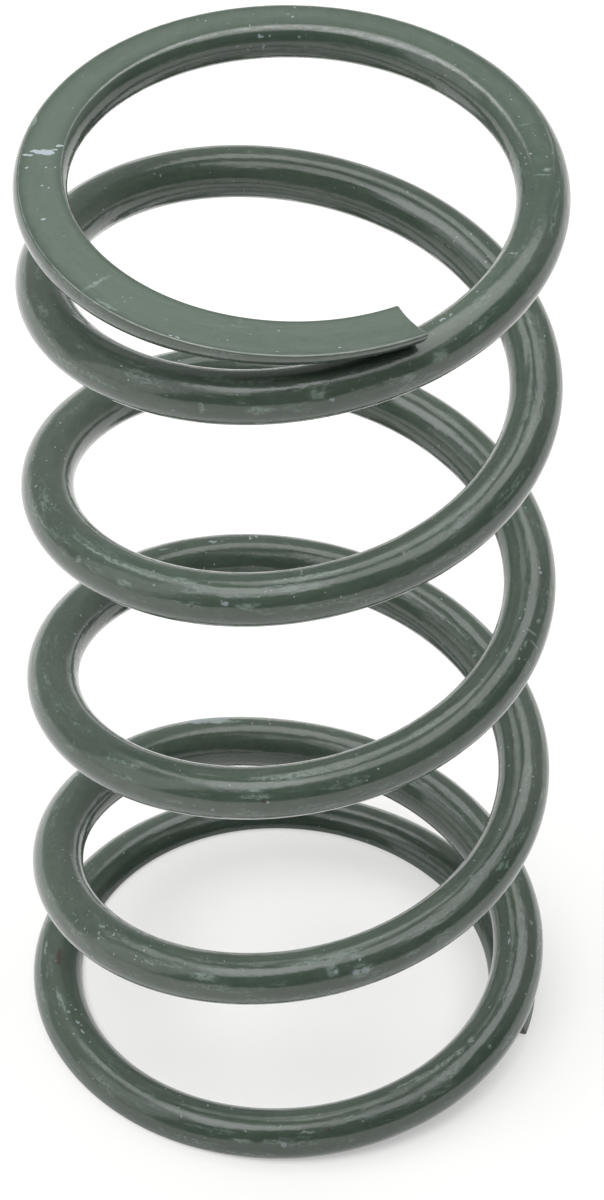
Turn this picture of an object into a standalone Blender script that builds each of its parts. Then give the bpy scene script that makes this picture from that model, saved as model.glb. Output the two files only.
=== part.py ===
# Clutch spring: a compression spring coiled from one round steel wire.
#
# The coils run right-handed about the Z axis. Both ends are closed, which means
# that the last turn is wound nearly flat and lies against its neighbour, and both
# are ground square, so that the spring stands on a flat ring.
#
# Lengths are in metres. Turns are counted along the wire, from one of its two tips.

import math

import bpy
import bmesh

MM = 0.001

# The coil
OUTSIDE_DIAMETER = 60.0 * MM
WIRE_DIAMETER = 5.9 * MM
FREE_LENGTH = 123.0 * MM
TOTAL_TURNS = 5.88

# Where the upper tip stops, seen from above, measured from +X towards +Y
HEAD_TIP_ANGLE_DEG = -62.8

# The upper end: what the grinding leaves of the wire at its tip, the pitch of the
# closed turn, and the length of wire over which the pitch opens out
HEAD_TIP_THICKNESS = 2.5 * MM
HEAD_CLOSED_PITCH = 0.8 * MM
HEAD_OPENING_TURNS = 0.32

# Before the grinding the upper tip stood up above the rest of its closed turn. This
# is how much, and the length of wire over which it came down
HEAD_TIP_LIFT = 2.2 * MM
HEAD_TIP_LIFT_TURNS = 0.41

# The lower end, by the same first three sizes
FOOT_TIP_THICKNESS = 2.3 * MM
FOOT_CLOSED_PITCH = 0.4 * MM
FOOT_OPENING_TURNS = 0.77

# The upper closed turn sits a little off the axis of the other coils, is a little
# wider, and oval. The oval is half the difference between its long and short radii,
# and its long axis has an angle from +X. All this is held from the tip for some
# turns, and fades over some more
HEAD_OFFSET_X = 0.1 * MM
HEAD_OFFSET_Y = 0.1 * MM
HEAD_EXTRA_RADIUS = 0.25 * MM
HEAD_OVAL = 0.25 * MM
HEAD_OVAL_ANGLE_DEG = 105.0
HEAD_OFFSET_HELD_TURNS = 1.0
HEAD_OFFSET_FADE_TURNS = 1.0

# The lower closed turn, by the same sizes
FOOT_OFFSET_X = -0.55 * MM
FOOT_OFFSET_Y = 1.05 * MM
FOOT_EXTRA_RADIUS = 0.25 * MM
FOOT_OVAL = 0.6 * MM
FOOT_OVAL_ANGLE_DEG = 120.0
FOOT_OFFSET_HELD_TURNS = 0.35
FOOT_OFFSET_FADE_TURNS = 0.75

# Air between each tip and the coil that it lies against
TIP_CLEARANCE = 0.2 * MM

# How far the grinding blocks reach past the coil, to the sides and along the axis
GRINDING_MARGIN = 12.0 * MM

# Fineness of the mesh: a wire has 4 sides, and 2 more for each step of resolution.
# Points that lie closer than the weld distance become one
SEGMENTS_PER_TURN = 48
BEVEL_RESOLUTION = 6
WELD_DISTANCE = 0.003 * MM

# Paint
PAINT_COLOUR = (0.085, 0.118, 0.094, 1.0)
PAINT_ROUGHNESS = 0.38

# Sizes that follow from those above
WIRE_RADIUS = WIRE_DIAMETER / 2
COIL_RADIUS = OUTSIDE_DIAMETER / 2 - WIRE_RADIUS
SEARCH_STEPS = 60


def first_turn_drop(active_pitch):
    """How far the wire sinks over the end turn, so that its tip just clears the next coil.

    The next coil slopes at the active pitch, so its side reaches higher than its radius.
    """
    slope = active_pitch / (2 * math.pi * COIL_RADIUS)
    return WIRE_RADIUS * (1 + math.hypot(1, slope)) + TIP_CLEARANCE


def smooth_step(value):
    value = min(max(value, 0), 1)
    return value * value * (3 - 2 * value)


def closed_turns(active_pitch, first_drop, closed_pitch, opening_turns):
    """Turns from the tip to where the pitch starts to open, for a drop over one turn.

    The pitch opens evenly, so what it adds to the drop grows with the square of the
    turns since then, and in proportion to them once it is fully open.
    """
    added = (first_drop - closed_pitch) / (active_pitch - closed_pitch)
    if added > opening_turns / 2:
        return 1 - added - opening_turns / 2
    return 1 - math.sqrt(2 * opening_turns * added)


def drop_from_tip(turns, active_pitch, first_drop, closed_pitch, opening_turns):
    """Height between the wire's centre at a tip and at this many turns from it."""
    start = closed_turns(active_pitch, first_drop, closed_pitch, opening_turns)
    opening = max(turns - start, 0)
    opened = max(opening - opening_turns, 0)
    added = (opening ** 2 - opened ** 2) / (2 * opening_turns)
    return closed_pitch * turns + (active_pitch - closed_pitch) * added


def head_drop(turns, active_pitch):
    """The drop below the upper tip, of which the tip's own lift is a part."""
    first_drop = first_turn_drop(active_pitch) - HEAD_TIP_LIFT
    drop = drop_from_tip(
        turns, active_pitch, first_drop, HEAD_CLOSED_PITCH, HEAD_OPENING_TURNS)
    return drop + HEAD_TIP_LIFT * smooth_step(turns / HEAD_TIP_LIFT_TURNS)


def foot_rise(turns, active_pitch):
    first_drop = first_turn_drop(active_pitch)
    return drop_from_tip(
        turns, active_pitch, first_drop, FOOT_CLOSED_PITCH, FOOT_OPENING_TURNS)


# Heights of the wire's centre at its two tips
HEAD_TIP_HEIGHT = FREE_LENGTH - HEAD_TIP_THICKNESS + WIRE_RADIUS
FOOT_TIP_HEIGHT = FOOT_TIP_THICKNESS - WIRE_RADIUS


def find_active_pitch():
    """The pitch of the open coils that makes up the free length, by halving."""
    middle = TOTAL_TURNS / 2
    low = max(HEAD_CLOSED_PITCH, FOOT_CLOSED_PITCH)
    high = FREE_LENGTH
    for _ in range(SEARCH_STEPS):
        pitch = (low + high) / 2
        height = head_drop(middle, pitch) + foot_rise(middle, pitch)
        if height < HEAD_TIP_HEIGHT - FOOT_TIP_HEIGHT:
            low = pitch
        else:
            high = pitch
    return (low + high) / 2


ACTIVE_PITCH = find_active_pitch()


def offset_share(turns_from_tip, held_turns, fade_turns):
    """How much of an end turn's offset the wire still has, from 1 at its tip to 0."""
    return 1 - smooth_step((turns_from_tip - held_turns) / fade_turns)


def widening(angle, extra_radius, oval, long_axis_deg):
    """What a closed turn adds to the coil's radius in this direction."""
    return extra_radius + oval * math.cos(2 * (angle - math.radians(long_axis_deg)))


def wire_centre(turns):
    """The middle of the wire, this many turns below the upper tip."""
    turns_from_foot = TOTAL_TURNS - turns
    if turns < turns_from_foot:
        height = HEAD_TIP_HEIGHT - head_drop(turns, ACTIVE_PITCH)
    else:
        height = FOOT_TIP_HEIGHT + foot_rise(turns_from_foot, ACTIVE_PITCH)
    at_head = offset_share(turns, HEAD_OFFSET_HELD_TURNS, HEAD_OFFSET_FADE_TURNS)
    at_foot = offset_share(turns_from_foot, FOOT_OFFSET_HELD_TURNS, FOOT_OFFSET_FADE_TURNS)
    angle = math.radians(HEAD_TIP_ANGLE_DEG) - 2 * math.pi * turns
    head_widening = widening(angle, HEAD_EXTRA_RADIUS, HEAD_OVAL, HEAD_OVAL_ANGLE_DEG)
    foot_widening = widening(angle, FOOT_EXTRA_RADIUS, FOOT_OVAL, FOOT_OVAL_ANGLE_DEG)
    radius = COIL_RADIUS + at_head * head_widening + at_foot * foot_widening
    return (
        radius * math.cos(angle) + at_head * HEAD_OFFSET_X + at_foot * FOOT_OFFSET_X,
        radius * math.sin(angle) + at_head * HEAD_OFFSET_Y + at_foot * FOOT_OFFSET_Y,
        height,
    )


def clear_scene():
    for thing in list(bpy.data.objects):
        bpy.data.objects.remove(thing, do_unlink=True)


def new_collection(name):
    collection = bpy.data.collections.new(name)
    bpy.context.scene.collection.children.link(collection)
    return collection


def green_paint():
    material = bpy.data.materials.new("green_paint")
    material.use_nodes = True
    shader = material.node_tree.nodes["Principled BSDF"]
    shader.inputs["Base Color"].default_value = PAINT_COLOUR
    shader.inputs["Roughness"].default_value = PAINT_ROUGHNESS
    shader.inputs["Metallic"].default_value = 0.0
    material.diffuse_color = PAINT_COLOUR
    return material


def coiled_wire(collection):
    """The wire as it comes off the coiler, round all along and cut square at both tips."""
    segments = math.ceil(TOTAL_TURNS * SEGMENTS_PER_TURN)
    curve = bpy.data.curves.new("coiled_wire", "CURVE")
    curve.dimensions = "3D"
    curve.twist_mode = "Z_UP"
    curve.bevel_depth = WIRE_RADIUS
    curve.bevel_resolution = BEVEL_RESOLUTION
    curve.use_fill_caps = True
    spline = curve.splines.new("POLY")
    spline.points.add(segments)
    for index, point in enumerate(spline.points):
        point.co = (*wire_centre(TOTAL_TURNS * index / segments), 1)
    wire = bpy.data.objects.new("coiled_wire", curve)
    collection.objects.link(wire)
    return wire


def solid_from_curve(curve_object, name, collection):
    """A closed mesh in place of a curve object, with the loose caps joined on."""
    evaluated = curve_object.evaluated_get(bpy.context.evaluated_depsgraph_get())
    mesh = bpy.data.meshes.new_from_object(evaluated)
    mesh.name = name
    edit = bmesh.new()
    edit.from_mesh(mesh)
    bmesh.ops.remove_doubles(edit, verts=edit.verts, dist=WELD_DISTANCE)
    bmesh.ops.recalc_face_normals(edit, faces=edit.faces)
    edit.to_mesh(mesh)
    edit.free()
    solid = bpy.data.objects.new(name, mesh)
    solid.matrix_world = curve_object.matrix_world
    collection.objects.link(solid)
    bpy.data.objects.remove(curve_object, do_unlink=True)
    return solid


def grinding_block(name, bottom, top, collection):
    """A block wider than the coil, which takes away what lies between two heights."""
    mesh = bpy.data.meshes.new(name)
    edit = bmesh.new()
    bmesh.ops.create_cube(edit, size=1)
    width = OUTSIDE_DIAMETER + 2 * GRINDING_MARGIN
    bmesh.ops.scale(edit, vec=(width, width, top - bottom), verts=edit.verts)
    bmesh.ops.translate(edit, vec=(0, 0, (top + bottom) / 2), verts=edit.verts)
    edit.to_mesh(mesh)
    edit.free()
    block = bpy.data.objects.new(name, mesh)
    block.display_type = "WIRE"
    block.hide_render = True
    collection.objects.link(block)
    return block


def grind(solid, block):
    cut = solid.modifiers.new(block.name, "BOOLEAN")
    cut.operation = "DIFFERENCE"
    cut.solver = "EXACT"
    cut.object = block


def main():
    clear_scene()
    parts = new_collection("Clutch spring")
    cutters = new_collection("Cutters")

    wire = coiled_wire(parts)
    spring = solid_from_curve(wire, "clutch_spring", parts)
    spring.data.materials.append(green_paint())

    head_top = FREE_LENGTH + GRINDING_MARGIN
    head = grinding_block("head_grinding", FREE_LENGTH, head_top, cutters)
    foot = grinding_block("foot_grinding", -GRINDING_MARGIN, 0, cutters)
    grind(spring, head)
    grind(spring, foot)

    spring.data.shade_smooth()
    print("active pitch", round(ACTIVE_PITCH / MM, 3), "mm")


main()
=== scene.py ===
# %% [markdown]
# # A clutch spring in dark green paint
#
# This is the compression spring of a drive clutch: one steel wire, coiled
# right-handed, with both ends closed and ground flat, and then dipped in a dark
# green enamel. The notebook starts from the plain solid, which gives the true
# size, and builds the fine surface that a close look needs.

# %% The plain solid
import math

import bpy
import numpy as np
from mathutils import Matrix, Vector


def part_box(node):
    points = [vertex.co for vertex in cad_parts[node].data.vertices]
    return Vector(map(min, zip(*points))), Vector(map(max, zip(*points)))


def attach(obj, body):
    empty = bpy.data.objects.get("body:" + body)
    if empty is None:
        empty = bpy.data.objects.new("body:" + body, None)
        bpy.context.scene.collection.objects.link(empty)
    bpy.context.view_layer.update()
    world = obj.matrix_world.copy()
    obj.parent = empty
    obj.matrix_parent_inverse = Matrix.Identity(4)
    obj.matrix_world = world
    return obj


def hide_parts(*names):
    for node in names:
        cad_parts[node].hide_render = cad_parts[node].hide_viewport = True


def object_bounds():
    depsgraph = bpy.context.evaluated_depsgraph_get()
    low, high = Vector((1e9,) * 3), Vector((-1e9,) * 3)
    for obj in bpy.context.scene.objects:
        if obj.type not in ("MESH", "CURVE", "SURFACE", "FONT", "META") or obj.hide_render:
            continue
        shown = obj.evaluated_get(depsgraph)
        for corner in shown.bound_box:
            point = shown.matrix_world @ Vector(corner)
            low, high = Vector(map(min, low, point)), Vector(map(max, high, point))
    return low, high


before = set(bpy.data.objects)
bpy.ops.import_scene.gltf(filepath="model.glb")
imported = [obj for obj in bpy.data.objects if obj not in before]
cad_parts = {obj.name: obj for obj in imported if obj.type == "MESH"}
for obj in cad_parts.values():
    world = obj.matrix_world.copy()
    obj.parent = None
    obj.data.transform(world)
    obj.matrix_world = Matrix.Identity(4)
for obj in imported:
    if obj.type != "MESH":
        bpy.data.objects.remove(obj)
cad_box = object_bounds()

MM = 0.001
box_foot, box_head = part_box("clutch_spring")
FREE_LENGTH = box_head.z - box_foot.z
print("free length", round(FREE_LENGTH / MM, 2), "mm")

# %% [markdown]
# ## The sizes of the coil
#
# These are the sizes that the coiling machine was set to. They are the same as
# those of the solid, so that the new surface lies on it. Only the last two are new:
# paint gathers on the sharp edges that the grinding leaves, and rounds them.

# %% Sizes of the coil
OUTSIDE_DIAMETER = 60.0 * MM
WIRE_DIAMETER = 5.9 * MM
TOTAL_TURNS = 5.88
HEAD_TIP_ANGLE = math.radians(-62.8)
HEAD_TIP_THICKNESS = 2.5 * MM
HEAD_CLOSED_PITCH = 0.8 * MM
HEAD_OPENING_TURNS = 0.32
HEAD_TIP_LIFT = 2.2 * MM
HEAD_TIP_LIFT_TURNS = 0.41
HEAD_OFFSET = (0.1 * MM, 0.1 * MM)
HEAD_OFFSET_HELD_TURNS = 1.0
HEAD_OFFSET_FADE_TURNS = 1.0
HEAD_EXTRA_RADIUS = 0.25 * MM
HEAD_OVAL = 0.25 * MM
HEAD_OVAL_ANGLE = math.radians(105)
FOOT_TIP_THICKNESS = 2.3 * MM
FOOT_CLOSED_PITCH = 0.4 * MM
FOOT_OPENING_TURNS = 0.77
FOOT_OFFSET = (-0.55 * MM, 1.05 * MM)
FOOT_OFFSET_HELD_TURNS = 0.35
FOOT_OFFSET_FADE_TURNS = 0.75
FOOT_EXTRA_RADIUS = 0.25 * MM
FOOT_OVAL = 0.6 * MM
FOOT_OVAL_ANGLE = math.radians(120)
TIP_CLEARANCE = 0.2 * MM
EDGE_RADIUS = 0.25 * MM
SOFT_EDGE_RADIUS = 1.4 * MM

WIRE_RADIUS = WIRE_DIAMETER / 2
COIL_RADIUS = OUTSIDE_DIAMETER / 2 - WIRE_RADIUS
HEAD_TIP_HEIGHT = FREE_LENGTH - HEAD_TIP_THICKNESS + WIRE_RADIUS
FOOT_TIP_HEIGHT = FOOT_TIP_THICKNESS - WIRE_RADIUS

# %% [markdown]
# ## The line that the wire follows
#
# The wire falls slowly over its first closed turn, then ever faster until it has
# reached the pitch of the open coils, and the same again in reverse at the foot.
# The upper tip also stood up a little before it was ground. A Screw modifier could
# make a helix of one pitch only, and a curve drawn by hand would never be even, so
# the height is a formula of the turns. The open pitch is the one that makes the two
# halves meet, and it is found by halving.

# %% Height of the wire along its turns
def smooth(value):
    """0 below 0, 1 above 1, and a soft rise from one to the other."""
    value = np.clip(value, 0, 1)
    return value * value * (3 - 2 * value)


def first_turn_drop(active_pitch):
    """How far the wire sinks in its first turn, so that the tip clears the next coil."""
    slope = active_pitch / (2 * math.pi * COIL_RADIUS)
    return WIRE_RADIUS * (1 + math.hypot(1, slope)) + TIP_CLEARANCE


def drop_from_tip(turns, active_pitch, first_drop, closed_pitch, opening_turns):
    """Height between the wire's middle at a tip and at this many turns from it.

    The pitch opens evenly, so what it adds grows with the square of the turns since
    it began to open, and in proportion to them once it is fully open.
    """
    added = (first_drop - closed_pitch) / (active_pitch - closed_pitch)
    start = 1 - added - opening_turns / 2
    if added <= opening_turns / 2:
        start = 1 - math.sqrt(2 * opening_turns * added)
    opening = np.maximum(turns - start, 0)
    opened = np.maximum(opening - opening_turns, 0)
    added_turns = (opening ** 2 - opened ** 2) / (2 * opening_turns)
    return closed_pitch * turns + (active_pitch - closed_pitch) * added_turns


def head_drop(turns, pitch):
    """The drop below the upper tip, of which the tip's own lift is a part."""
    first_drop = first_turn_drop(pitch) - HEAD_TIP_LIFT
    drop = drop_from_tip(turns, pitch, first_drop, HEAD_CLOSED_PITCH, HEAD_OPENING_TURNS)
    return drop + HEAD_TIP_LIFT * smooth(turns / HEAD_TIP_LIFT_TURNS)


def foot_rise(turns, pitch):
    """The rise above the lower tip."""
    first_drop = first_turn_drop(pitch)
    return drop_from_tip(turns, pitch, first_drop, FOOT_CLOSED_PITCH, FOOT_OPENING_TURNS)


SEARCH_STEPS = 60

low_pitch, high_pitch = max(HEAD_CLOSED_PITCH, FOOT_CLOSED_PITCH), FREE_LENGTH
for _ in range(SEARCH_STEPS):
    pitch = (low_pitch + high_pitch) / 2
    height = head_drop(TOTAL_TURNS / 2, pitch) + foot_rise(TOTAL_TURNS / 2, pitch)
    if height < HEAD_TIP_HEIGHT - FOOT_TIP_HEIGHT:
        low_pitch = pitch
    else:
        high_pitch = pitch
print("active pitch", round(pitch / MM, 3), "mm")

# %% [markdown]
# ## The middle of the wire
#
# Seen from above the wire runs round a circle. Only the two closed turns sit a
# little off the axis of the others and are slightly wide and oval, as they are on
# many springs. Both ease back onto the circle over the next turn. No coiling machine
# holds its pitch exactly, so two places are given an error of up to half a
# millimetre in height, over a short stretch of wire.

# %% Middle of the wire
def widening(angle, extra_radius, oval, long_axis):
    """What a closed turn adds to the coil's radius in this direction."""
    return extra_radius + oval * np.cos(2 * (angle - long_axis))


# Turns below the upper tip, reach to each side in turns, and error of the height
PITCH_ERRORS = [(3.076, 0.15, 0.15 * MM), (4.576, 0.11, -0.5 * MM)]


def pitch_error(turns):
    """The error of the height at each number of turns below the upper tip."""
    return sum(
        error * smooth(1 - np.abs(turns - middle) / reach)
        for middle, reach, error in PITCH_ERRORS)


def wire_centre(turns):
    """Centres of the wire, one row for each number of turns below the upper tip."""
    from_foot = TOTAL_TURNS - turns
    upper = HEAD_TIP_HEIGHT - head_drop(turns, pitch)
    lower = FOOT_TIP_HEIGHT + foot_rise(from_foot, pitch)
    at_head = 1 - smooth((turns - HEAD_OFFSET_HELD_TURNS) / HEAD_OFFSET_FADE_TURNS)
    at_foot = 1 - smooth((from_foot - FOOT_OFFSET_HELD_TURNS) / FOOT_OFFSET_FADE_TURNS)
    angle = HEAD_TIP_ANGLE - 2 * math.pi * turns
    radius = COIL_RADIUS
    radius += at_head * widening(angle, HEAD_EXTRA_RADIUS, HEAD_OVAL, HEAD_OVAL_ANGLE)
    radius += at_foot * widening(angle, FOOT_EXTRA_RADIUS, FOOT_OVAL, FOOT_OVAL_ANGLE)
    return np.stack([
        radius * np.cos(angle) + at_head * HEAD_OFFSET[0] + at_foot * FOOT_OFFSET[0],
        radius * np.sin(angle) + at_head * HEAD_OFFSET[1] + at_foot * FOOT_OFFSET[1],
        np.where(turns < from_foot, upper, lower) + pitch_error(turns),
    ], axis=-1)


RINGS_PER_TURN = 180
ring_count = math.ceil(TOTAL_TURNS * RINGS_PER_TURN) + 1
ring_turns = np.linspace(0, TOTAL_TURNS, ring_count)
centres = wire_centre(ring_turns)
steps = np.linalg.norm(np.diff(centres, axis=0), axis=1)
along = np.concatenate([[0], np.cumsum(steps)])
print("rings", ring_count, "- wire", round(along[-1] / MM), "mm long")

# %% [markdown]
# ## The section of the wire
#
# The wire is round, but the grinding wheel has taken away whatever stood above the
# head or below the foot. A Boolean would leave a knife edge and long thin
# triangles there. Instead each ring of points is laid out on the ground section
# itself: round sides, a small rounded edge, and a flat. The same number of points
# goes into each stretch all along the wire, so the rings join up into clean quads.
#
# Each point is a core point plus a skin: the core is the section shrunk by the
# edge radius, and the skin is that radius, pushed out along the surface normal. The
# edge is crisp at the tips and grows softer where the grinding runs out, because the
# wheel met the wire at a flat angle there. The foot lies deep in the ground plane for
# most of its turn, so its edge stays crisp for longer than the head's.

# %% Half of one ring
SIDE_POINTS = 19
EDGE_POINTS = 6
FLAT_POINTS = 7
# A flat that would span less than this to each side is left round, and on a round
# section the points of the edge are spread over the smaller angle
LEAST_FLAT_ANGLE = math.radians(13)
EDGE_ANGLE = math.radians(3)
# Wire at each end with a crisp edge, and wire over which the edge grows softer
HEAD_CRISP_TURNS, HEAD_SOFTENING_TURNS = 0.2, 0.5
FOOT_CRISP_TURNS, FOOT_SOFTENING_TURNS = 0.7, 0.15

head_softness = smooth((ring_turns - HEAD_CRISP_TURNS) / HEAD_SOFTENING_TURNS)
turns_from_foot = TOTAL_TURNS - ring_turns
foot_softness = smooth((turns_from_foot - FOOT_CRISP_TURNS) / FOOT_SOFTENING_TURNS)
softness = np.minimum(head_softness, foot_softness)
edge_radius = EDGE_RADIUS + (SOFT_EDGE_RADIUS - EDGE_RADIUS) * softness
core_radius = WIRE_RADIUS - edge_radius


def ground_end(plane):
    """The end of a section at a ground plane, this far above the wire's middle.

    It gives the angle where the round side ends, and the core and normal of the
    points from there to the middle of the flat, as arrays of (ring, point, 2).
    """
    core_plane = plane - edge_radius
    corner = np.arcsin(np.clip(core_plane / core_radius, -1, 1))
    cut = corner < math.pi / 2 - LEAST_FLAT_ANGLE
    side_end = np.where(cut, corner, math.pi / 2 - LEAST_FLAT_ANGLE)

    edge_share = np.linspace(0, 1, EDGE_POINTS)
    flat_share = np.linspace(0, 1, FLAT_POINTS + 1)[1:]

    # A ground section: the edge turns about the core's corner, and the flat is straight
    turned = corner[:, None] + (math.pi / 2 - corner[:, None]) * edge_share
    half_flat = core_radius * np.cos(corner)
    edge_core = np.stack([half_flat, core_radius * np.sin(corner)], -1)[:, None, :]
    edge_core = np.repeat(edge_core, EDGE_POINTS, axis=1)
    flat_core = np.stack(np.broadcast_arrays(
        half_flat[:, None] * (1 - flat_share), core_plane[:, None]), -1)
    ground_core = np.concatenate([edge_core, flat_core], axis=1)
    ground_angle = np.concatenate(
        [turned, np.full((len(plane), FLAT_POINTS), math.pi / 2)], axis=1)

    # A whole section: the same points spread over the top of the circle
    edge_end = math.pi / 2 - LEAST_FLAT_ANGLE + EDGE_ANGLE
    whole_angle = np.concatenate([
        np.linspace(math.pi / 2 - LEAST_FLAT_ANGLE, edge_end, EDGE_POINTS),
        edge_end + (math.pi / 2 - edge_end) * flat_share,
    ])
    whole_normal = np.stack([np.cos(whole_angle), np.sin(whole_angle)], -1)
    whole_core = core_radius[:, None, None] * whole_normal
    whole_core[..., 1] = np.minimum(whole_core[..., 1], core_plane[:, None])
    whole_angle = np.repeat(whole_angle[None], len(plane), axis=0)

    core = np.where(cut[:, None, None], ground_core, whole_core)
    angle = np.where(cut[:, None], ground_angle, whole_angle)
    return side_end, core, np.stack([np.cos(angle), np.sin(angle)], -1)


# %% [markdown]
# ## Whole rings
#
# The right half of a ring runs from the middle of its lower flat, round the lower
# edge, up the side and over the upper edge to the middle of the upper flat. The
# left half is its mirror image, run backwards.

# %% Rings in the plane of the section
def ring_points(head_plane, foot_plane):
    """Core and normal of every ring, (ring, point, 2): across the wire, and up."""
    top_end, top_core, top_normal = ground_end(head_plane)
    bottom_end, bottom_core, bottom_normal = ground_end(foot_plane)
    flip = np.array([1, -1])
    share = np.linspace(0, 1, SIDE_POINTS + 2)[1:-1]
    side = -bottom_end[:, None] + (top_end + bottom_end)[:, None] * share
    side_normal = np.stack([np.cos(side), np.sin(side)], -1)
    right_core = np.concatenate(
        [bottom_core[:, ::-1] * flip, core_radius[:, None, None] * side_normal, top_core],
        axis=1)
    right_normal = np.concatenate(
        [bottom_normal[:, ::-1] * flip, side_normal, top_normal], axis=1)
    mirror = np.array([-1, 1])
    left_core = right_core[:, -2:0:-1] * mirror
    left_normal = right_normal[:, -2:0:-1] * mirror
    return (np.concatenate([right_core, left_core], axis=1),
            np.concatenate([right_normal, left_normal], axis=1))


# Tangent, outward and upward directions of the section at each ring, and how far
# the two ground planes are from its middle
tangent = np.gradient(centres, axis=0)
tangent /= np.linalg.norm(tangent, axis=1)[:, None]
ring_angle = HEAD_TIP_ANGLE - 2 * math.pi * ring_turns
outward = np.stack([np.cos(ring_angle), np.sin(ring_angle), 0 * ring_angle], -1)
upward = np.cross(tangent, outward)
upward *= np.sign(upward[:, 2])[:, None]
outward = np.cross(upward, tangent)
outward *= np.sign((outward * centres).sum(1))[:, None]

head_plane = (FREE_LENGTH - centres[:, 2]) / upward[:, 2]
foot_plane = centres[:, 2] / upward[:, 2]
core, normal = ring_points(head_plane, foot_plane)
print("points in a ring", core.shape[1])

# %% [markdown]
# ## The cut tips
#
# The wire was sheared off at both tips and painted after that, so the paint rounds
# the edge of the cut. A few more rings do that: each lies a little further along the
# wire and has a thinner skin, as a quarter circle asks, and a fan of triangles
# closes the last one. The shear left the upper tip hollow and longer on its outside.

# %% The wire as a mesh
TIP_RINGS = 5
HEAD_SHEAR = 0.8 * MM
HEAD_HOLLOW = 0.35 * MM


# Every ring twice: where it is in space, and where it is on the straightened wire
rows, straight_rows = [], []


def add_ring(ring, skin, forward):
    """Adds one ring, with this skin and this shift along the wire."""
    section = core[ring] + skin * normal[ring]
    middle = centres[ring] + np.multiply.outer(forward, tangent[ring])
    rows.append(middle + section[:, :1] * outward[ring] + section[:, 1:] * upward[ring])
    straight_rows.append(np.column_stack([np.full(len(section), along[ring]), section]))


def add_tip_ring(ring, share, sign, shear, hollow):
    """Adds one ring of a rounded tip, from its full width at 0 to its flat end at 1."""
    turned = share * math.pi / 2
    sideways = core[ring][:, 0] / WIRE_RADIUS
    sheared = shear * (1 + sideways) / 2 - hollow * (1 - sideways ** 2)
    forward = sign * (edge_radius[ring] * (math.sin(turned) - 1) + sheared)
    add_ring(ring, edge_radius[ring] * math.cos(turned), forward)


def with_caps(rows):
    """The points of all rows, and last the middles of the first and the last row."""
    return np.concatenate(rows + [rows[0].mean(0)[None], rows[-1].mean(0)[None]])


shares = np.linspace(1, 0, TIP_RINGS)
for share in shares:
    add_tip_ring(0, share, -1, HEAD_SHEAR, HEAD_HOLLOW)
for ring in range(1, ring_count - 1):
    add_ring(ring, edge_radius[ring], 0)
for share in shares[::-1]:
    add_tip_ring(ring_count - 1, share, 1, 0, 0)
vertices, straight = with_caps(rows), with_caps(straight_rows)

row_count, ring_size = len(rows), len(rows[0])
last_row = (row_count - 1) * ring_size
first_cap = row_count * ring_size
last_cap = first_cap + 1
faces = []
for row in range(row_count - 1):
    here, there = row * ring_size, (row + 1) * ring_size
    for point in range(ring_size):
        following = (point + 1) % ring_size
        faces.append((here + point, there + point, there + following, here + following))
for point in range(ring_size):
    following = (point + 1) % ring_size
    faces.append((first_cap, point, following))
    faces.append((last_cap, last_row + following, last_row + point))

# The solid's flat facets lie a few hundredths of a millimetre inside the true
# curve, so the surface is drawn in by as much, to stay inside the solid's box
box_low, box_high = np.array(cad_box[0]), np.array(cad_box[1])
fit = np.minimum(
    box_high[:2] / vertices[:, :2].max(0), box_low[:2] / vertices[:, :2].min(0))
vertices[:, :2] *= np.minimum(fit, 1)
vertices[:, 2] = np.clip(vertices[:, 2], box_low[2], box_high[2])
print("drawn in to", fit.round(5))

mesh = bpy.data.meshes.new("coiled_wire")
mesh.from_pydata(vertices.tolist(), [], faces)
mesh.attributes.new("straight", "FLOAT_VECTOR", "POINT")
mesh.attributes["straight"].data.foreach_set(
    "vector", straight.astype(np.float32).ravel())
mesh.shade_smooth()
mesh.validate()
spring = bpy.data.objects.new("coiled_wire", mesh)
bpy.context.scene.collection.objects.link(spring)
print("vertices", len(mesh.vertices), "faces", len(mesh.polygons))

# %% [markdown]
# ## Shader sums as plain Python
#
# The paint is a material of many small sums. Written as nodes, each would take
# several lines, so one small class wraps a node's output and lets Python's own
# signs add the Math nodes.

# %% A class for shader sums
class Signal:
    """One output of a shader node, on which sums can be written."""

    def __init__(self, socket):
        self.socket = socket

    @classmethod
    def node(cls, tree, kind, settings=None, inputs=None, output=0):
        """Any node: first its settings, then the values or links of its sockets."""
        made = tree.nodes.new(kind)
        for name, value in (settings or {}).items():
            setattr(made, name, value)
        for name, value in (inputs or {}).items():
            if isinstance(value, Signal):
                tree.links.new(value.socket, made.inputs[name])
            else:
                made.inputs[name].default_value = value
        return cls(made.outputs[output]) if made.outputs else None

    def math(self, operation, *values):
        """A Math node on these values, of which some are signals."""
        settings = {"operation": operation}
        inputs = dict(enumerate(values))
        return self.node(self.socket.id_data, "ShaderNodeMath", settings, inputs)

    def __add__(self, other):
        return self.math("ADD", self, other)

    def __sub__(self, other):
        return self.math("SUBTRACT", self, other)

    def __rsub__(self, other):
        return self.math("SUBTRACT", other, self)

    def __mul__(self, other):
        return self.math("MULTIPLY", self, other)

    __radd__ = __add__
    __rmul__ = __mul__

    def absolute(self):
        return self.math("ABSOLUTE", self)

    def larger(self, other):
        return self.math("MAXIMUM", self, other)

    def smaller(self, other):
        return self.math("MINIMUM", self, other)

    def between(self, start, end):
        """0 up to start, 1 from end, and a smooth rise from one to the other."""
        settings = {"interpolation_type": "SMOOTHSTEP"}
        inputs = {"Value": self, "From Min": start, "From Max": end}
        return self.node(self.socket.id_data, "ShaderNodeMapRange", settings, inputs)


# %% [markdown]
# ## Where a point is on the wire
#
# Marks and streaks on a spring follow its wire, so the textures are laid out as if
# the wire were straight. The mesh carries that place with each vertex: how far
# along the wire it is, and how far outward and upward from the wire's middle. In
# millimetres, the numbers below are the ones that a ruler would show.

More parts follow.
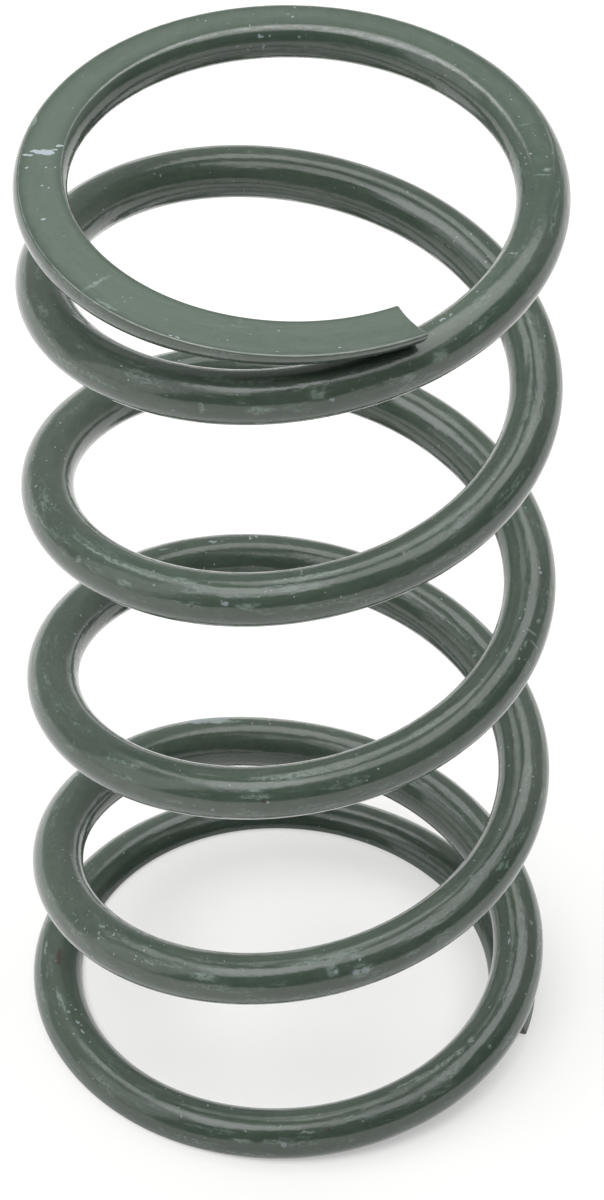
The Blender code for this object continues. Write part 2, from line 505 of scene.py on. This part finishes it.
# %% Place on the straightened wire
paint = bpy.data.materials.new("green_enamel")
paint.use_nodes = True
tree = paint.node_tree
shader = tree.nodes["Principled BSDF"]

straight_place = Signal.node(
    tree, "ShaderNodeAttribute", {"attribute_name": "straight"}, output="Vector")
place = Signal.node(tree, "ShaderNodeVectorMath", {"operation": "MULTIPLY"}, {
    0: straight_place, 1: (1 / MM, 1 / MM, 1 / MM)})


def streaks(along_size, across_size, detail=2.0, rough=0.5, output=0):
    """Noise between 0 and 1 whose blots have these sizes, in millimetres."""
    stretched = Signal.node(tree, "ShaderNodeVectorMath", {"operation": "MULTIPLY"}, {
        0: place, 1: (1 / along_size, 1 / across_size, 1 / across_size)})
    return Signal.node(tree, "ShaderNodeTexNoise", None, {
        "Vector": stretched, "Scale": 1.0, "Detail": detail, "Roughness": rough}, output)


# A Mix node has sockets for several kinds of value. These are the ones for colours
MIX_FACTOR, MIX_UNDER, MIX_OVER, MIX_RESULT = 0, 6, 7, 2


def painted(mask, colour, over):
    """The colour where the mask is 1, and what it is laid over where it is 0."""
    return Signal.node(tree, "ShaderNodeMix", {"data_type": "RGBA"}, {
        MIX_FACTOR: mask, MIX_UNDER: over, MIX_OVER: colour}, output=MIX_RESULT)


# %% [markdown]
# ## Round or ground
#
# On the round wire every point is one wire radius from the middle, and on a ground
# face it is nearer. That depth, and how level the surface lies, tell the paint where
# it is: it is duller on the faces, and paler along their edges, partly because it is
# worn through there, where it lies thin, and partly as a painted highlight on the
# rounded edge. Each pair of numbers says where a mask starts to rise and where it is full.

# %% Ground faces and their edges
GROUND_DEPTH = (0.01, 0.08)
FADE_DEPTH = (0.0, 0.9)
FACE_LEVEL = (0.55, 0.9)
FLAT_LEVEL = (0.94, 0.995)
EDGE_LEVEL = (0.35, 0.7)
EDGE_END_LEVEL = (0.93, 0.995)

across = Signal.node(tree, "ShaderNodeVectorMath", {"operation": "MULTIPLY"}, {
    0: place, 1: (0, 1, 1)})
from_middle = Signal.node(tree, "ShaderNodeVectorMath", {"operation": "LENGTH"}, {
    0: across}, output="Value")
surface_normal = Signal.node(tree, "ShaderNodeNewGeometry", output="Normal")
normal_up = Signal.node(tree, "ShaderNodeSeparateXYZ", None, {0: surface_normal}, "Z")
level = normal_up.absolute()
depth = WIRE_RADIUS / MM - from_middle
ground = depth.between(*GROUND_DEPTH)
face = depth.between(*FADE_DEPTH) * level.between(*FACE_LEVEL)
flat = depth.between(*FADE_DEPTH) * level.between(*FLAT_LEVEL)
edge = ground * level.between(*EDGE_LEVEL) * (1 - level.between(*EDGE_END_LEVEL))
print("nodes for the place and the faces", len(tree.nodes))

# %% [markdown]
# ## Marks of handling
#
# Springs are shipped loose and knock against each other. The marks that show most
# are listed. Each is given by the turns of wire below the upper tip, the
# degrees round the wire from its outer side upward, and its length along the wire
# and width round it in millimetres. On the ground faces a distance outward from
# the wire's middle, in millimetres, takes the place of the degrees.
#
# Chips show the primer, scuffs and scratches are rubbed pale, stains are rust, pits
# are dark, and a spatter is a stretch of wire where specks of dust lie thick.

# %% Lists of marks
chips_on_face = [
    (0.341, 1.5, 0.4, 1.3), (0.345, 0.6, 0.6, 1.3), (0.345, -0.4, 1.0, 1.9),
    (0.353, -1.71, 0.45, 0.8), (0.348, -1.3, 0.3, 0.6), (0.278, 0.65, 0.3, 0.6),
    (0.142, 2.56, 1.3, 0.22), (0.329, 1.32, 0.26, 0.26), (0.330, -0.72, 0.22, 0.22),
    (0.330, -1.64, 0.22, 0.22), (0.311, -0.20, 0.28, 0.28), (0.309, -0.88, 0.22, 0.22),
    (0.048, 1.92, 0.28, 0.28), (0.576, -0.24, 0.24, 0.24),
]
chips_on_round = [
    (0.536, 169, 0.3, 0.3), (0.544, 181, 0.34, 0.34), (0.553, 151, 0.9, 0.42),
    (0.555, 173, 0.36, 0.36), (0.560, 153, 0.36, 0.36), (0.580, 155, 0.24, 0.24),
    (0.806, 127, 0.3, 0.3), (0.790, 131, 0.24, 0.24), (0.812, 128, 0.24, 0.24),
    (0.966, 98, 0.36, 0.3), (0.973, 99, 0.8, 0.45), (1.052, 15, 0.5, 0.4),
    (1.730, 113, 0.3, 0.3), (1.800, 67, 0.34, 0.34), (2.112, 32, 0.72, 0.42),
    (2.829, 69, 0.3, 0.3), (2.832, 67, 0.34, 0.34), (2.845, 45, 0.75, 0.24),
    (2.864, 87, 0.3, 0.3), (2.900, 53, 0.34, 0.34), (3.087, 20, 0.34, 0.34),
    (3.121, -1, 0.45, 0.34), (3.355, 132, 0.34, 0.34), (3.377, 120, 0.32, 0.32),
    (3.518, 91, 1.1, 0.34), (3.520, 64, 0.32, 0.32), (3.524, 92, 0.32, 0.32),
    (3.540, 69, 0.3, 0.3), (3.545, 84, 0.34, 0.85), (3.550, 74, 0.32, 0.32),
    (4.027, 21, 0.9, 0.9), (4.033, 25, 0.9, 0.6), (4.045, 38, 0.5, 0.6),
    (4.291, 33, 0.28, 0.28), (4.510, 66, 3.4, 1.8), (4.521, 70, 2.6, 2.2),
    (4.830, 114, 0.94, 0.22), (4.838, 111, 1.1, 0.28), (4.856, 108, 0.28, 0.28),
    (5.077, 20, 0.6, 0.6), (5.237, 88, 0.28, 0.28), (5.249, 89, 0.75, 0.28),
    (5.259, 92, 0.8, 0.34), (5.271, 86, 0.34, 0.34),
]
scuffs_on_face = [
    (0.208, 0.53, 0.5, 3.3), (0.189, 2.27, 2.5, 0.35), (0.373, 2.03, 1.9, 0.45),
]
scuffs_on_round = [
    (0.821, 81, 0.5, 1.0), (0.760, 112, 6.0, 0.35), (0.700, 118, 5.0, 0.35),
    (0.699, 127, 1.1, 0.55), (0.736, 105, 0.5, 0.95), (0.795, 73, 1.8, 0.5),
    (0.901, 102, 0.3, 0.8), (0.987, 30, 1.7, 1.0), (1.008, 14, 1.3, 0.9),
    (1.059, 33, 1.7, 1.0), (1.093, 12, 2.1, 1.0), (1.125, 12, 0.6, 1.1),
    (1.788, 92, 1.3, 0.45), (2.140, 72, 3.0, 0.6), (2.185, 68, 13.0, 0.4),
    (2.217, 34, 0.9, 0.7), (2.178, 34, 1.8, 0.6), (2.100, 27, 1.8, 0.6),
    (2.868, 48, 0.8, 0.35), (2.888, 55, 0.9, 0.4), (2.899, 85, 0.7, 0.4),
    (3.094, 34, 3.0, 0.5), (3.094, 47, 1.6, 0.4), (3.070, 75, 9.0, 0.5),
    (3.331, 167, 4.2, 0.8), (2.060, 80, 8.0, 0.5), (4.050, 70, 8.0, 0.6),
    (3.482, 87, 1.3, 0.4), (3.914, 40, 1.2, 0.3), (3.918, 50, 1.3, 0.5),
    (3.997, 16, 1.7, 0.35), (4.029, 24, 2.2, 1.5), (4.047, 43, 1.2, 1.5),
    (4.030, 58, 1.2, 0.6), (4.127, 43, 2.6, 0.9), (4.165, 46, 1.3, 0.5),
    (4.212, 73, 0.95, 0.5), (4.525, 83, 4.5, 0.6), (4.821, 60, 0.5, 0.5),
    (4.926, 45, 0.6, 0.35), (4.931, 87, 1.1, 0.6), (4.944, 87, 1.2, 0.6),
    (4.965, 90, 6.0, 0.5), (4.985, 96, 5.0, 0.4), (5.061, 46, 2.0, 0.35),
    (5.081, 28, 3.0, 0.5), (5.102, 26, 2.2, 0.5), (5.284, 79, 4.2, 0.5),
    (5.338, 59, 2.7, 0.35),
]
scratches = [
    (0.755, 118, 3.6, 0.15), (0.774, 99, 0.16, 1.95), (0.782, 119, 4.4, 0.16),
    (0.806, 145, 3.3, 0.2), (0.815, 142, 1.7, 0.2), (0.826, 93, 0.18, 1.9),
    (2.065, 99, 0.2, 1.3), (2.142, 25, 1.3, 0.16), (2.878, 55, 0.3, 1.6),
    (2.884, 35, 0.3, 1.6), (3.094, 41, 1.8, 0.16), (3.734, 126, 0.5, 0.6),
    (4.207, 52, 1.65, 0.16),
]
stains_on_face = [(0.074, -2.76, 0.34, 0.34)]
stains_on_round = [
    (3.060, -18, 0.34, 0.34), (3.090, 21, 0.7, 0.4), (5.048, 45, 0.34, 0.34),
    (5.066, 18, 0.34, 0.3), (5.327, 93, 3.4, 0.75),
]
pits_on_round = [
    (0.840, 114, 0.32, 0.25), (1.697, 148, 0.3, 0.28), (2.133, 20, 0.3, 0.28),
]
spatters = [(4.200, 60, 17.0, 8.0), (5.262, 84, 10.0, 4.0)]

# %% [markdown]
# ## From a list to a mask
#
# For every mark the shader measures how far a point lies from the mark's middle,
# in half lengths and half widths, so the mark is where that is below 1. The
# smallest of these numbers stands for the whole list. The place is shaken a
# little first, or all marks would be neat ellipses.

# %% Distance to the nearest mark
def on_round(turns, degrees):
    """Place of a mark on the round wire, in millimetres."""
    angle = math.radians(degrees)
    distance = float(np.interp(turns, ring_turns, along)) / MM
    return distance, WIRE_RADIUS / MM * math.cos(angle), WIRE_RADIUS / MM * math.sin(angle)


def on_face(turns, outward_place):
    """Place of a mark on the upper ground face, in millimetres."""
    distance = float(np.interp(turns, ring_turns, along)) / MM
    height = float(np.interp(turns, ring_turns, head_plane)) / MM
    return distance, outward_place, height


def shaken(size, amount):
    """The place on the wire, moved about by this many millimetres."""
    colour = streaks(size, size, detail=2.0, output="Color")
    moved = Signal.node(tree, "ShaderNodeVectorMath", {"operation": "SUBTRACT"}, {
        0: colour, 1: (0.5, 0.5, 0.5)})
    return Signal.node(tree, "ShaderNodeVectorMath", {"operation": "MULTIPLY_ADD"}, {
        0: moved, 1: (2 * amount,) * 3, 2: place})


def nearest(from_place, on_faces, on_rounds):
    """Smallest distance to the marks of two lists, in half lengths and widths."""
    marks = [
        (on_face(turns, outward_place), length, width)
        for turns, outward_place, length, width in on_faces]
    marks += [
        (on_round(turns, degrees), length, width)
        for turns, degrees, length, width in on_rounds]
    smallest = None
    for (distance, outward_place, up_place), length, width in marks:
        scale = (2 / length, 2 / width, 2 / width)
        middle = (-distance * scale[0], -outward_place * scale[1], -up_place * scale[2])
        offset = Signal.node(tree, "ShaderNodeVectorMath", {"operation": "MULTIPLY_ADD"}, {
            0: from_place, 1: scale, 2: middle})
        reach = Signal.node(tree, "ShaderNodeVectorMath", {"operation": "LENGTH"}, {
            0: offset}, output="Value")
        smallest = smallest.smaller(reach) if smallest else reach
    return smallest


# Where each kind of mark is still full, and where it has faded, in half lengths
CHIP_RIM = (0.8, 1.1)
SCRATCH_RIM = (0.6, 1.3)
SCUFF_RIM = (0.6, 1.5)
STAIN_RIM = (0.5, 1.2)
PIT_RIM = (0.6, 1.0)
SPATTER_RIM = (0.5, 1.0)
# Where noise breaks a mark up, and where it leaves the mark whole
SCRATCH_BREAKS = (0.34, 0.5)
SCUFF_BREAKS = (0.38, 0.58)
SCUFF_LEAST = 0.25

crumbled = shaken(size=0.6, amount=0.32)
smeared = shaken(size=0.8, amount=0.35)
bent = shaken(size=1.5, amount=0.2)
fine_blots = streaks(0.7, 0.3, detail=4.0, rough=0.7)

chipped = 1 - nearest(crumbled, chips_on_face, chips_on_round).between(*CHIP_RIM)
scratched = 1 - nearest(bent, [], scratches).between(*SCRATCH_RIM)
scratched = scratched * fine_blots.between(*SCRATCH_BREAKS)
scuffed = 1 - nearest(smeared, scuffs_on_face, scuffs_on_round).between(*SCUFF_RIM)
broken_up = fine_blots.between(*SCUFF_BREAKS)
scuffed = scuffed * (SCUFF_LEAST + (1 - SCUFF_LEAST) * broken_up)
stained = 1 - nearest(crumbled, stains_on_face, stains_on_round).between(*STAIN_RIM)
pitted = 1 - nearest(crumbled, [], pits_on_round).between(*PIT_RIM)
spattered = 1 - nearest(place, [], spatters).between(*SPATTER_RIM)
mark_lists = [
    chips_on_face, chips_on_round, scuffs_on_face, scuffs_on_round, scratches,
    stains_on_face, stains_on_round, pits_on_round, spatters]
print("marks", sum(len(marks) for marks in mark_lists))

# %% [markdown]
# ## Dust and rubbing all over
#
# Between those marks there are many small ones that nobody would list: specks of
# dust in the paint, and pale rubbed patches on the outer side. Cells of a Voronoi
# texture scatter the specks, and each cell's random colour says whether it has one
# and how large it is.

# %% Specks and rubbed patches
SPECK_RIM = 0.03
SPECK_LEAST = 0.5
DRAW_RIM = 0.01
CROWDS = (0.45, 0.62)
CLEAN_SHARE = 0.25
OUTER_SIDE = (-2.0, 2.2)
RUBBED_PATCHES = (0.52, 0.66)
RUBBED_BREAKS = (0.42, 0.56)
WORN_PATCHES = (0.4, 0.58)
EDGE_LEAST_WEAR_AND_HIGHLIGHT = 0.4


def specks(cell, share, radius):
    """Small round spots in this share of the cells. Cell and radius are in mm."""
    vector = Signal.node(tree, "ShaderNodeVectorMath", {"operation": "SCALE"}, {
        0: crumbled, "Scale": 1 / cell})
    distance = Signal.node(tree, "ShaderNodeTexVoronoi", None, {
        "Vector": vector, "Scale": 1.0}, "Distance")
    chance = Signal(distance.socket.node.outputs["Color"])
    drawn = Signal.node(tree, "ShaderNodeSeparateColor", None, {0: chance})
    size = (SPECK_LEAST + drawn * ((1 - SPECK_LEAST) / share)) * (radius / cell)
    spot = 1 - (distance - size).between(-SPECK_RIM, SPECK_RIM)
    return spot * (1 - drawn.between(share - DRAW_RIM, share + DRAW_RIM))


crowded = CLEAN_SHARE + (1 - CLEAN_SHARE) * streaks(11.0, 5.0).between(*CROWDS)
dust = specks(cell=0.75, share=0.26, radius=0.14) * crowded
showered = specks(cell=0.9, share=0.7, radius=0.18) * spattered
out_from_middle = Signal.node(tree, "ShaderNodeSeparateXYZ", None, {0: place}, "Y")
outer = out_from_middle.between(*OUTER_SIDE)
rubbed = streaks(6.0, 1.3, detail=3.0, rough=0.6).between(*RUBBED_PATCHES)
rubbed = rubbed * outer * fine_blots.between(*RUBBED_BREAKS) * (1 - ground)
worn = streaks(1.6, 0.5, detail=3.0, rough=0.7).between(*WORN_PATCHES)
# The ground edges are painted pale all along: partly paint worn through, partly a painted
# highlight on the rounded edge
worn_and_highlit_edge = edge * (EDGE_LEAST_WEAR_AND_HIGHLIGHT + (1 - EDGE_LEAST_WEAR_AND_HIGHLIGHT) * worn)
print("nodes for the marks", len(tree.nodes))

# %% [markdown]
# ## The colour of the paint
#
# The enamel is one dark green. It is a little uneven, and paler on the ground faces,
# where it is matt; that paleness is partly the matt finish and partly a painted sheen.
# The marks are laid over it one after the other: pale rubbed patches, worn edges
# with a painted highlight, and dust, then bright chips that show primer, then brown
# stains and dark pits. Each has a strength, because none hides all the paint.

# %% Colour
PAINT_GREEN = (0.077, 0.106, 0.081, 1)
PAINT_DEEP = (0.054, 0.079, 0.059, 1)
# Paler green of the ground faces: partly their matt finish, partly a painted sheen
FACE_GREEN_AND_SHEEN = (0.091, 0.123, 0.095, 1)
RUBBED_GREEN = (0.200, 0.262, 0.225, 1)
PRIMER = (0.34, 0.395, 0.415, 1)
DUST_GREY = (0.33, 0.36, 0.33, 1)
# Pale grey of the ground edges: bare steel where worn, and a painted highlight along the
# rounded edge
BARE_EDGE_AND_HIGHLIGHT = (0.24, 0.26, 0.24, 1)
STAIN_BROWN = (0.070, 0.036, 0.028, 1)
PIT_BLACK = (0.012, 0.014, 0.012, 1)

UNEVEN_SPAN = (0.36, 0.64)
FACE_LEAST = 0.55
RUBBED_STRENGTH = 0.5
SCUFF_STRENGTH = 0.75
EDGE_WEAR_AND_HIGHLIGHT_STRENGTH = 0.8
DUST_STRENGTH = 0.85
CHIP_STRENGTH_ON_ROUND = 0.6
STAIN_STRENGTH = 0.8

uneven = 0.5 * streaks(20.0, 4.0) + 0.3 * streaks(1.8, 1.2) + 0.2 * streaks(0.45, 0.4)
uneven = uneven.between(*UNEVEN_SPAN)
face_and_sheen_share = face * (FACE_LEAST + (1 - FACE_LEAST) * uneven)
chip_strength = CHIP_STRENGTH_ON_ROUND + (1 - CHIP_STRENGTH_ON_ROUND) * ground
colour = painted(uneven, PAINT_GREEN, PAINT_DEEP)
# Ground faces painted paler: partly matt finish, partly a painted sheen
colour = painted(face_and_sheen_share, FACE_GREEN_AND_SHEEN, colour)
colour = painted(rubbed * RUBBED_STRENGTH, RUBBED_GREEN, colour)
colour = painted(scuffed.larger(scratched) * SCUFF_STRENGTH, RUBBED_GREEN, colour)
# Painted highlight and wear along the ground edges
colour = painted(worn_and_highlit_edge * EDGE_WEAR_AND_HIGHLIGHT_STRENGTH, BARE_EDGE_AND_HIGHLIGHT, colour)
colour = painted(dust.larger(showered) * DUST_STRENGTH, DUST_GREY, colour)
colour = painted(chipped * chip_strength, PRIMER, colour)
colour = painted(stained * STAIN_STRENGTH, STAIN_BROWN, colour)
colour = painted(pitted, PIT_BLACK, colour)
tree.links.new(colour.socket, shader.inputs["Base Color"])
print("nodes with the colour", len(tree.nodes))

# %% [markdown]
# ## Gloss and relief
#
# Enamel is glossy, so most of what the eye reads as paint is the reflection of the
# lights, the floor and the neighbouring coils. The relief bends those reflections:
# long shallow waves from the drawn wire, short ragged ones where paint has sagged,
# and a fine orange peel. Heights are in millimetres. The marks change the colour
# and the gloss only: in the relief they would triple the time of a render, and
# their depth would not show.

# %% Gloss and relief
DRAW_LINE_HEIGHT = 0.035
RAGGED_HEIGHT = 0.055
PEEL_HEIGHT = 0.028
SAGS = (0.45, 0.65)
GLOSSY = 0.12
GLOSS_VARIES = 0.10
FLAT_DULLER = 0.23
MARKS_DULLER = 0.2
RUBBED_DULL_SHARE = 0.5
CHIPS_DULLER = 0.3
PAINT_IOR = 1.55

draw_lines = streaks(60.0, 0.9, detail=1.0) * DRAW_LINE_HEIGHT
sagged = streaks(12.0, 2.5).between(*SAGS)
ragged = streaks(2.2, 0.9, detail=3.0, rough=0.5) * sagged * RAGGED_HEIGHT
peel = streaks(0.9, 0.6, detail=3.0, rough=0.6) * PEEL_HEIGHT
relief_height = draw_lines + ragged + peel
relief = Signal.node(tree, "ShaderNodeBump", None, {
    "Height": relief_height, "Distance": MM, "Strength": 1.0})
tree.links.new(relief.socket, shader.inputs["Normal"])

dull = scuffed.larger(rubbed * RUBBED_DULL_SHARE).larger(dust)
roughness = GLOSSY + GLOSS_VARIES * streaks(7.0, 1.8, detail=3.0)
roughness = roughness + FLAT_DULLER * flat + MARKS_DULLER * dull
roughness = roughness + CHIPS_DULLER * chipped
tree.links.new(roughness.socket, shader.inputs["Roughness"])
shader.inputs["IOR"].default_value = PAINT_IOR
mesh.materials.append(paint)
print("nodes in the paint", len(tree.nodes))

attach(spring, "root")
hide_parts("clutch_spring")

# %% [markdown]
# ## The floor
#
# A wide pale floor, as in a product studio. It takes the spring's own soft shadow.
# The floor itself is grey. A glow that only the camera and the glossy reflections
# see turns its picture white, and adds no other light to the spring.

# %% Floor
FLOOR_SIZE = 60.0
FLOOR_GREY = (0.55, 0.545, 0.53, 1)
CAMERA_LIFT = 0.42
GLOSS_LIFT = 0.68

half_floor = FLOOR_SIZE / 2
floor_mesh = bpy.data.meshes.new("floor")
corners = [(-half_floor, -half_floor, 0), (half_floor, -half_floor, 0),
           (half_floor, half_floor, 0), (-half_floor, half_floor, 0)]
floor_mesh.from_pydata(corners, [], [(0, 1, 2, 3)])
floor = bpy.data.objects.new("floor", floor_mesh)
bpy.context.scene.collection.objects.link(floor)

floor_white = bpy.data.materials.new("floor_white")
floor_white.use_nodes = True
floor_tree = floor_white.node_tree
floor_tree.nodes.clear()
diffuse = Signal.node(floor_tree, "ShaderNodeBsdfDiffuse", None, {"Color": FLOOR_GREY})
seen = Signal.node(floor_tree, "ShaderNodeLightPath", output="Is Camera Ray")
mirrored = Signal.node(floor_tree, "ShaderNodeLightPath", output="Is Glossy Ray")
glow = Signal.node(floor_tree, "ShaderNodeEmission", None, {
    "Strength": seen * CAMERA_LIFT + mirrored * GLOSS_LIFT})
both = Signal.node(floor_tree, "ShaderNodeAddShader", None, {0: diffuse, 1: glow})
Signal.node(floor_tree, "ShaderNodeOutputMaterial", None, {"Surface": both})
floor_mesh.materials.append(floor_white)
print("floor", FLOOR_SIZE, "m square")

# %% [markdown]
# ## The room
#
# Gloss shows the whole room, so the room matters as much as the lamps. Behind the
# spring it is pale, and in front of it, where the camera stands, it is dark. That
# darkness gives each coil its deep green band. The camera itself sees plain white.

# %% Room
ROOM_BACK = 0.55
ROOM_FRONT = 0.04
HORIZON = (-0.05, 0.35)

room = bpy.data.worlds.new("room")
bpy.context.scene.world = room
room.use_nodes = True
room_tree = room.node_tree
room_tree.nodes.clear()
direction = Signal.node(room_tree, "ShaderNodeTexCoord", output="Generated")
towards_back = Signal.node(room_tree, "ShaderNodeSeparateXYZ", None, {0: direction}, "Y")
pale = ROOM_FRONT + (ROOM_BACK - ROOM_FRONT) * towards_back.between(*HORIZON)
seen = Signal.node(room_tree, "ShaderNodeLightPath", output="Is Camera Ray")
surround = Signal.node(room_tree, "ShaderNodeBackground", None, {
    "Strength": pale * (1 - seen) + seen})
Signal.node(room_tree, "ShaderNodeOutputWorld", None, {"Surface": surround})
print("room from", ROOM_FRONT, "in front to", ROOM_BACK, "behind")

# %% [markdown]
# ## The lamps
#
# Three soft boxes. The large one hangs overhead and draws the long highlight along
# the top of every coil, the second strengthens it from the front left, and the
# third stands on the left and lightens the sides of the coils there.

# %% Lamps
MIDDLE = Vector((0, 0, FREE_LENGTH / 2))


def soft_box(name, azimuth, elevation, distance, size, radiance, colour):
    """A soft box at this bearing in degrees, turned towards the spring."""
    lamp = bpy.data.lights.new(name, "AREA")
    lamp.shape = "RECTANGLE"
    lamp.size, lamp.size_y = size
    lamp.energy = radiance * math.pi * size[0] * size[1]
    lamp.color = colour
    stand = bpy.data.objects.new(name, lamp)
    azimuth, elevation = math.radians(azimuth), math.radians(elevation)
    direction = Vector((math.cos(elevation) * math.cos(azimuth),
                        math.cos(elevation) * math.sin(azimuth), math.sin(elevation)))
    stand.location = MIDDLE + direction * distance
    stand.rotation_mode = "QUATERNION"
    stand.rotation_quaternion = direction.to_track_quat("Z", "Y")
    stand.visible_camera = False
    bpy.context.scene.collection.objects.link(stand)
    print(name, "at", [round(value, 2) for value in stand.location])


WHITE = (1.0, 1.0, 1.0)
COOL_WHITE = (0.94, 0.96, 1.0)
soft_box(
    "overhead_box", azimuth=90, elevation=88, distance=3.6, size=(5.4, 4.8),
    radiance=2.6, colour=WHITE)
soft_box(
    "front_left_box", azimuth=-150, elevation=60, distance=3.6, size=(2.4, 2.2),
    radiance=1.5, colour=COOL_WHITE)
soft_box(
    "left_box", azimuth=-168, elevation=22, distance=3.8, size=(2.6, 2.8),
    radiance=1.3, colour=WHITE)

# %% [markdown]
# ## The camera
#
# The photograph looks down at the spring through a long lens, from about 42 degrees
# above the floor. Elevation, distance, lens and a slight roll were found together
# with the sizes of the coil, by laying its outline on the photographed one.

# %% Camera
PHOTO_HEIGHT = 1200
CAMERA_ELEVATION = math.radians(42.32)
CAMERA_DISTANCE = 821.6 * MM
CAMERA_ROLL = math.radians(0.19)
FOCAL_PIXELS = 7274.1
SENSOR_LONG_SIDE = 36.0
CLIP_START, CLIP_END = 0.05, 200
aim = Vector((1.36 * MM, 0, 61.09 * MM))

camera_data = bpy.data.cameras.new("camera")
camera_data.sensor_width = SENSOR_LONG_SIDE
camera_data.lens = FOCAL_PIXELS / PHOTO_HEIGHT * SENSOR_LONG_SIDE
camera_data.clip_start = CLIP_START
camera_data.clip_end = CLIP_END
camera = bpy.data.objects.new("camera", camera_data)
back = Vector((0, -math.cos(CAMERA_ELEVATION), math.sin(CAMERA_ELEVATION)))
right = Vector((1, 0, 0))
up = back.cross(right)
turn = Matrix((right, up, back)).transposed()
turn = turn @ Matrix.Rotation(CAMERA_ROLL, 3, "Z")
camera.rotation_mode = "QUATERNION"
camera.rotation_quaternion = turn.to_quaternion()
camera.location = aim + back * CAMERA_DISTANCE
bpy.context.scene.collection.objects.link(camera)
bpy.context.scene.camera = camera
bpy.context.scene.view_settings.view_transform = "Standard"
print("lens", round(camera_data.lens, 1), "mm")
